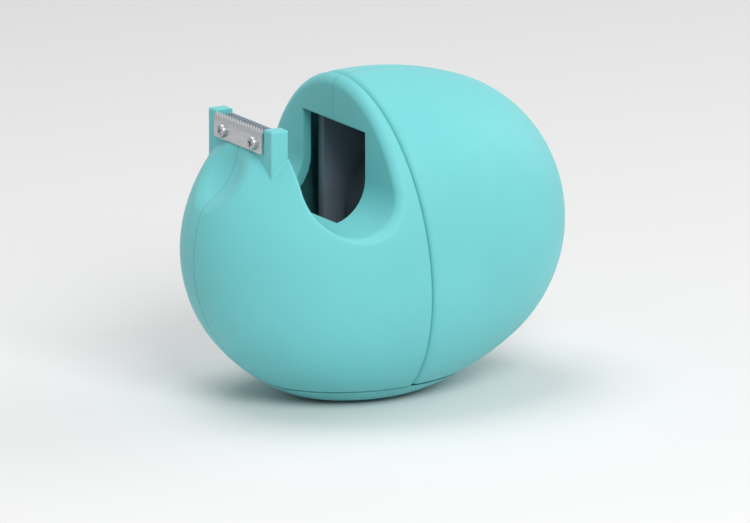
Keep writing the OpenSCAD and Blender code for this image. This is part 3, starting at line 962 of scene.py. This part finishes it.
def ribbed_bar(name, cutter, edge, low, high):
    """The tape rest: a bar with a row of shallow slots across its top."""
    slots = int((high.y - low.y - cutter.rib) / (2 * cutter.rib))
    across = (low.x, low.x + cutter.rib_land, high.x - cutter.rib_land, high.x)
    along = [(low.y + high.y) / 2 + (i - slots + 0.5) * cutter.rib for i in range(2 * slots)]
    along = [low.y, *along, high.y]
    columns, rows = len(across) - 1, len(along) - 1
    select_none()
    bpy.ops.mesh.primitive_grid_add(x_subdivisions=columns, y_subdivisions=rows, size=1)
    bar = added(name)
    for vertex in bar.data.vertices:
        column = round((vertex.co.x + 0.5) * columns)
        row = round((vertex.co.y + 0.5) * rows)
        vertex.co = (across[column], along[row], high.z)
    edit(bar)
    bpy.ops.mesh.select_mode(type="EDGE")
    bpy.ops.mesh.select_all(action="DESELECT")
    bpy.ops.mesh.select_non_manifold()
    bpy.ops.mesh.extrude_region_move(TRANSFORM_OT_translate={"value": (0, 0, low.z - high.z)})
    bpy.ops.mesh.edge_face_add()
    close_edit()
    in_slot = []
    for face in bar.data.polygons:
        row = sum(face.center.y > line for line in along) - 1
        in_row = row % 2 == 1 and face.center.z > low.z
        in_slot.append(in_row and across[1] < face.center.x < across[2])
    edit_picked(bar, "FACE", in_slot)
    bpy.ops.mesh.extrude_region_move(TRANSFORM_OT_translate={"value": (0, 0, -cutter.rib / 2)})
    bpy.ops.mesh.select_all(action="SELECT")
    bpy.ops.mesh.normals_make_consistent(inside=False)
    close_edit()
    bevel(bar, edge)
    smooth(bar)
    return bar


def toothed_strip(name, cutter, low, high):
    """The blade: an upright strip with a saw edge, ground on its front."""
    width, tall = high.y - low.y, high.z - low.z
    teeth = int(width / cutter.tooth_pitch)
    select_none()
    bpy.ops.mesh.primitive_grid_add(x_subdivisions=2 * teeth, y_subdivisions=6, size=1)
    blade = added(name)
    blade.scale = (width, tall, 1)
    blade.rotation_euler = (math.pi / 2, 0, -math.pi / 2)
    blade.location = (low.x, 0, (low.z + high.z) / 2)
    settle(blade)
    columns = np.linspace(low.y, high.y, 2 * teeth + 1)
    root = high.z - cutter.tooth_height
    for vertex in blade.data.vertices:
        column = int(np.argmin(np.abs(columns - vertex.co.y)))
        share = (vertex.co.z - low.z) / tall
        top = high.z if column % 2 else root
        vertex.co.z = low.z + share * (top - low.z)
    edit(blade)
    thick = cutter.blade_thickness
    bpy.ops.mesh.extrude_region_move(TRANSFORM_OT_translate={"value": (thick, 0, 0)})
    bpy.ops.mesh.select_all(action="SELECT")
    bpy.ops.mesh.normals_make_consistent(inside=False)
    close_edit()
    for vertex in blade.data.vertices:
        ground = (vertex.co.z - root + cutter.grind) / (cutter.tooth_height + cutter.grind)
        if vertex.co.x < low.x + thick / 2 and ground > 0:
            vertex.co.x += (thick - cutter.tooth_tip) * ground
    return blade


class DISPENSER_OT_cutter(Operator):
    """Model the toothed blade, its screws and the ribbed tape rest"""
    bl_idname = "dispenser.cutter"
    bl_label = "Cutter"

    def execute(self, context):
        cutter = context.scene.dispenser_cutter
        low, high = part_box("cutter_blade")
        screws_low, screws_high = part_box("blade_screws")
        head_radius = (screws_high.z - screws_low.z) / 2
        reach = (screws_high.y - screws_low.y) / 2 - head_radius
        height = (screws_low.z + screws_high.z) / 2
        spots = [Vector((low.x, side * reach, height)) for side in (-1, 1)]

        blade = toothed_strip("blade_strip", cutter, low, high)
        drills = []
        for spot in spots:
            select_none()
            bpy.ops.mesh.primitive_cylinder_add(
                vertices=32, radius=head_radius / 2 + cutter.hole_play, depth=8 * cutter.blade_thickness,
                location=spot, rotation=(0, math.pi / 2, 0))
            drills.append(settle(added("drill")))
        cut_away(blade, drills)
        smooth(blade, 25)
        hand_over(blade, "base", "blade_steel", FINISHES["steel"], "cutter_blade")

        shank, head = screws_high.x - low.x, low.x - screws_low.x
        model = screw("screw_model", shank, head_radius / 2, head, head_radius)
        forward = Matrix.Rotation(math.pi / 2, 4, "Y")
        places = [Matrix.Translation(spot) @ forward @ Matrix.Rotation(spin, 4, "Z")
                  for spot, spin in zip(spots, (0.35, 1.1))]
        heads = placed_copies(model, places, "blade_fixings")
        smooth(heads)
        hand_over(heads, "base", "screw_steel", FINISHES["zinc"], "blade_screws")

        edge = context.scene.dispenser_edges.rest
        rest = ribbed_bar("ribbed_rest", cutter, edge, *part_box("tape_rest"))
        hand_over(rest, "base", "dark_plastic", FINISHES["charcoal"], "tape_rest")
        return {"FINISHED"}


ROLL_STEPS = 144  # faces round the tape roll


def wound_roll(name, low, high, inner, edge):
    """The tape roll: the outline of half its section, spun round the axle."""
    axle = (low + high) / 2
    outer = (high.x - low.x) / 2
    select_none()
    bpy.ops.mesh.primitive_plane_add(size=1)
    roll = added(name)
    roll.scale = (outer - inner, high.y - low.y, 1)
    roll.location = (axle.x + (outer + inner) / 2, 0, axle.z)
    settle(roll)
    edit(roll)
    bpy.ops.mesh.bevel(offset=edge, segments=3, affect="VERTICES")
    bpy.ops.mesh.delete(type="ONLY_FACE")
    bpy.ops.mesh.select_all(action="SELECT")
    bpy.ops.mesh.spin(steps=ROLL_STEPS, angle=2 * math.pi, center=axle, axis=(0, 1, 0))
    bpy.ops.mesh.select_all(action="SELECT")
    bpy.ops.mesh.remove_doubles(threshold=MERGE)
    bpy.ops.mesh.normals_make_consistent(inside=False)
    close_edit()
    smooth(roll, 30)
    return roll


class DISPENSER_OT_spool(Operator):
    """Model the tape roll, the hub halves and the axle pin, and give the washers and the core their
    finishes
    """
    bl_idname = "dispenser.spool"
    bl_label = "Spool"

    def execute(self, context):
        edges = context.scene.dispenser_edges
        core_low, core_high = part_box("tape_core")
        low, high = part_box("tape_roll")
        roll = wound_roll("tape_winding", low, high, (core_high.x - core_low.x) / 2, edges.roll)
        hand_over(roll, "spool", "tape_film", FINISHES["film"], "tape_roll")
        for word in ("left", "right"):
            hub = softened_copy("hub_" + word, "spool_hub_" + word, edges.hub)
            hand_over(hub, "spool", "hub_plastic", FINISHES["hub"], "hub_" + word)
        pin = softened_copy("axle_pin", "spool_pin", edges.pin, 3)
        hand_over(pin, "spool", "screw_steel", FINISHES["zinc"], "axle_pin")
        dress("drag_washers", FINISHES["nylon"])
        dress("tape_core", FINISHES["core"])
        return {"FINISHED"}


SCREW_HEAD = 1.2 * MM  # height of the heads of the screws inside
SCREW_RADIUS = 1.25 * MM  # radius of their shanks


def pair_of_screws(node, along, turned):
    """Two screws side by side along an axis, turned over where their heads are on top."""
    low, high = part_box(node)
    middle = (low + high) / 2
    across = min(high.x - low.x, high.y - low.y)
    reach = (max(high.x - low.x, high.y - low.y) - across) / 2
    model = screw("screw_model", high.z - low.z - SCREW_HEAD, SCREW_RADIUS, SCREW_HEAD, across / 2)
    seat = Vector((middle.x, middle.y, high.z - SCREW_HEAD if turned else low.z + SCREW_HEAD))
    over = Matrix.Rotation(math.pi if turned else 0, 4, "X")
    places = []
    for side, spin in ((-1, 0.2), (1, 0.9)):
        spot = Matrix.Translation(seat + side * reach * along)
        places.append(spot @ over @ Matrix.Rotation(spin, 4, "Z"))
    fixings = placed_copies(model, places, node.replace("screws", "fixings"))
    smooth(fixings)
    return fixings


class DISPENSER_OT_base(Operator):
    """Model the grip pad and the screws of the base, ballast and chassis"""
    bl_idname = "dispenser.base"
    bl_label = "Base"

    def execute(self, context):
        pad = softened_copy("base_pad", "grip_pad", context.scene.dispenser_edges.pad, 3)
        hand_over(pad, "base", "grip_pad", FINISHES["rubber"], "base_pad")
        forward, aside = Vector((1, 0, 0)), Vector((0, 1, 0))
        for node, along, turned in (("base_screws", aside, False), ("ballast_screws", forward, False),
                                    ("chassis_screws", aside, True)):
            fixings = pair_of_screws(node, along, turned)
            hand_over(fixings, "base", "screw_steel", FINISHES["zinc"], node)
        return {"FINISHED"}


# Lights: places toward the camera, to its right and up from the ring's middle, widths and powers
LIGHTS = (
    ("key", (0.80, 0.32, 0.62), 0.60, 7.0),
    ("fill", (-0.45, 0.80, 0.40), 0.60, 2.4),
    ("top", (-0.10, -0.15, 0.85), 0.60, 3.0),
)
ROOM_LIGHT = 0.38  # strength of the white room as a light
ROOM_SEEN = 0.95  # its strength where the camera or a gloss sees it
FLOOR_RADIUS = 4.0
SENSOR_WIDTH = 36.0


def soft_light(name, place, target, width, power):
    """A large soft box that points at a target."""
    lamp = bpy.data.lights.new(name, "AREA")
    lamp.shape = "RECTANGLE"
    lamp.size = width
    lamp.size_y = width * 0.8
    lamp.energy = power
    piece = bpy.data.objects.new(name, lamp)
    piece.location = place
    piece.rotation_euler = (target - place).to_track_quat("-Z", "Y").to_euler()
    bpy.context.scene.collection.objects.link(piece)


def studio_floor(tone):
    """A plain matt floor."""
    select_none()
    bpy.ops.mesh.primitive_circle_add(vertices=96, radius=FLOOR_RADIUS, fill_type="NGON",
                                      location=(0, 0, 0))
    floor = added("studio_floor")
    paper = Finish("Studio floor")
    paper.plain(Base_Color=(*tone, 1.0), Roughness=0.9, Specular_IOR_Level=0.1)
    floor.data.materials.append(paper.material)


def studio_world():
    """An even white room, dimmer as a light than as it is seen."""
    world = bpy.data.worlds.new("Studio")
    bpy.context.scene.world = world
    world.use_nodes = True
    tree = world.node_tree
    rays = tree.nodes.new("ShaderNodeLightPath").outputs
    seen = maths(tree, "MAXIMUM", rays["Is Camera Ray"], rays["Is Transmission Ray"])
    seen = maths(tree, "MAXIMUM", seen, rays["Is Glossy Ray"])
    back = tree.nodes["Background"].inputs
    tree.links.new(spread(tree, seen, 0, 1, ROOM_LIGHT, ROOM_SEEN), back["Strength"])
    back["Color"].default_value = (1, 1, 1, 1)


def place_camera(stage, ring, right, away):
    """A long lens far off, so that upright lines stay nearly parallel."""
    lens = bpy.data.cameras.new("camera")
    lens.sensor_width = SENSOR_WIDTH
    lens.sensor_fit = "HORIZONTAL"
    lens.lens = stage.lens
    lens.clip_start, lens.clip_end = 0.01, 20
    camera = bpy.data.objects.new("camera", lens)
    rise = away.cross(right)
    turn = Matrix((right, rise, away)).transposed().to_4x4()
    spot = ring + away * stage.distance + right * stage.across - rise * stage.down
    camera.matrix_world = Matrix.Translation(spot) @ turn
    scene = bpy.context.scene
    scene.collection.objects.link(camera)
    scene.camera = camera


class DISPENSER_OT_stage(Operator):
    """Set the floor, the lights and the camera"""
    bl_idname = "dispenser.stage"
    bl_label = "Stage"

    def execute(self, context):
        scene = context.scene
        stage = scene.dispenser_stage
        ring = ring_middle(scene.dispenser_egg)
        up = Vector((0, 0, 1))
        right = Vector((math.cos(stage.turn), math.sin(stage.turn), 0))
        near = Vector((math.sin(stage.turn), -math.cos(stage.turn), 0))
        studio_floor(scene.dispenser_colours.floor)
        studio_world()
        for name, (forward, aside, above), width, power in LIGHTS:
            soft_light(name, ring + near * forward + right * aside + up * above, ring, width, power)
        place_camera(stage, ring, right, near * math.cos(stage.rise) + up * math.sin(stage.rise))
        scene.view_settings.view_transform = "Standard"
        return {"FINISHED"}


STEPS = (DISPENSER_OT_finishes, DISPENSER_OT_shells, DISPENSER_OT_chassis, DISPENSER_OT_cutter,
         DISPENSER_OT_spool, DISPENSER_OT_base, DISPENSER_OT_stage)


def label(name):
    """A setting's name as the sidebar shows it."""
    return name.replace("_", " ").capitalize()


class DISPENSER_PT_sidebar(Panel):
    """Lists the pieces of the dispenser and their sizes"""
    bl_label = "Tape dispenser"
    bl_idname = "DISPENSER_PT_sidebar"
    bl_space_type = "VIEW_3D"
    bl_region_type = "UI"
    bl_category = "Dispenser"

    def draw(self, context):
        for step in STEPS:
            self.layout.operator(step.bl_idname)
        for name in GROUPS_OF_SIZES:
            box = self.layout.box()
            box.label(text=label(name.removeprefix("dispenser_")))
            sizes = getattr(context.scene, name)
            for size in sizes.bl_rna.properties.keys():
                if size not in ("rna_type", "name"):
                    box.prop(sizes, size, text=label(size))


GROUPS_OF_SIZES = {
    "dispenser_egg": EggSizes,
    "dispenser_cutter": CutterSizes,
    "dispenser_edges": EdgeSizes,
    "dispenser_colours": FinishColours,
    "dispenser_stage": StageSizes,
}
CLASSES = (*GROUPS_OF_SIZES.values(), *STEPS, DISPENSER_PT_sidebar)


def register():
    for item in CLASSES:
        bpy.utils.register_class(item)
    for name, group in GROUPS_OF_SIZES.items():
        setattr(bpy.types.Scene, name, PointerProperty(type=group))


def unregister():
    for name in GROUPS_OF_SIZES:
        delattr(bpy.types.Scene, name)
    for item in reversed(CLASSES):
        bpy.utils.unregister_class(item)


def main():
    register()
    bpy.ops.dispenser.finishes()
    bpy.ops.dispenser.shells()
    bpy.ops.dispenser.chassis()
    bpy.ops.dispenser.cutter()
    bpy.ops.dispenser.spool()
    bpy.ops.dispenser.base()
    bpy.ops.dispenser.stage()


if __name__ == "__main__":
    main()
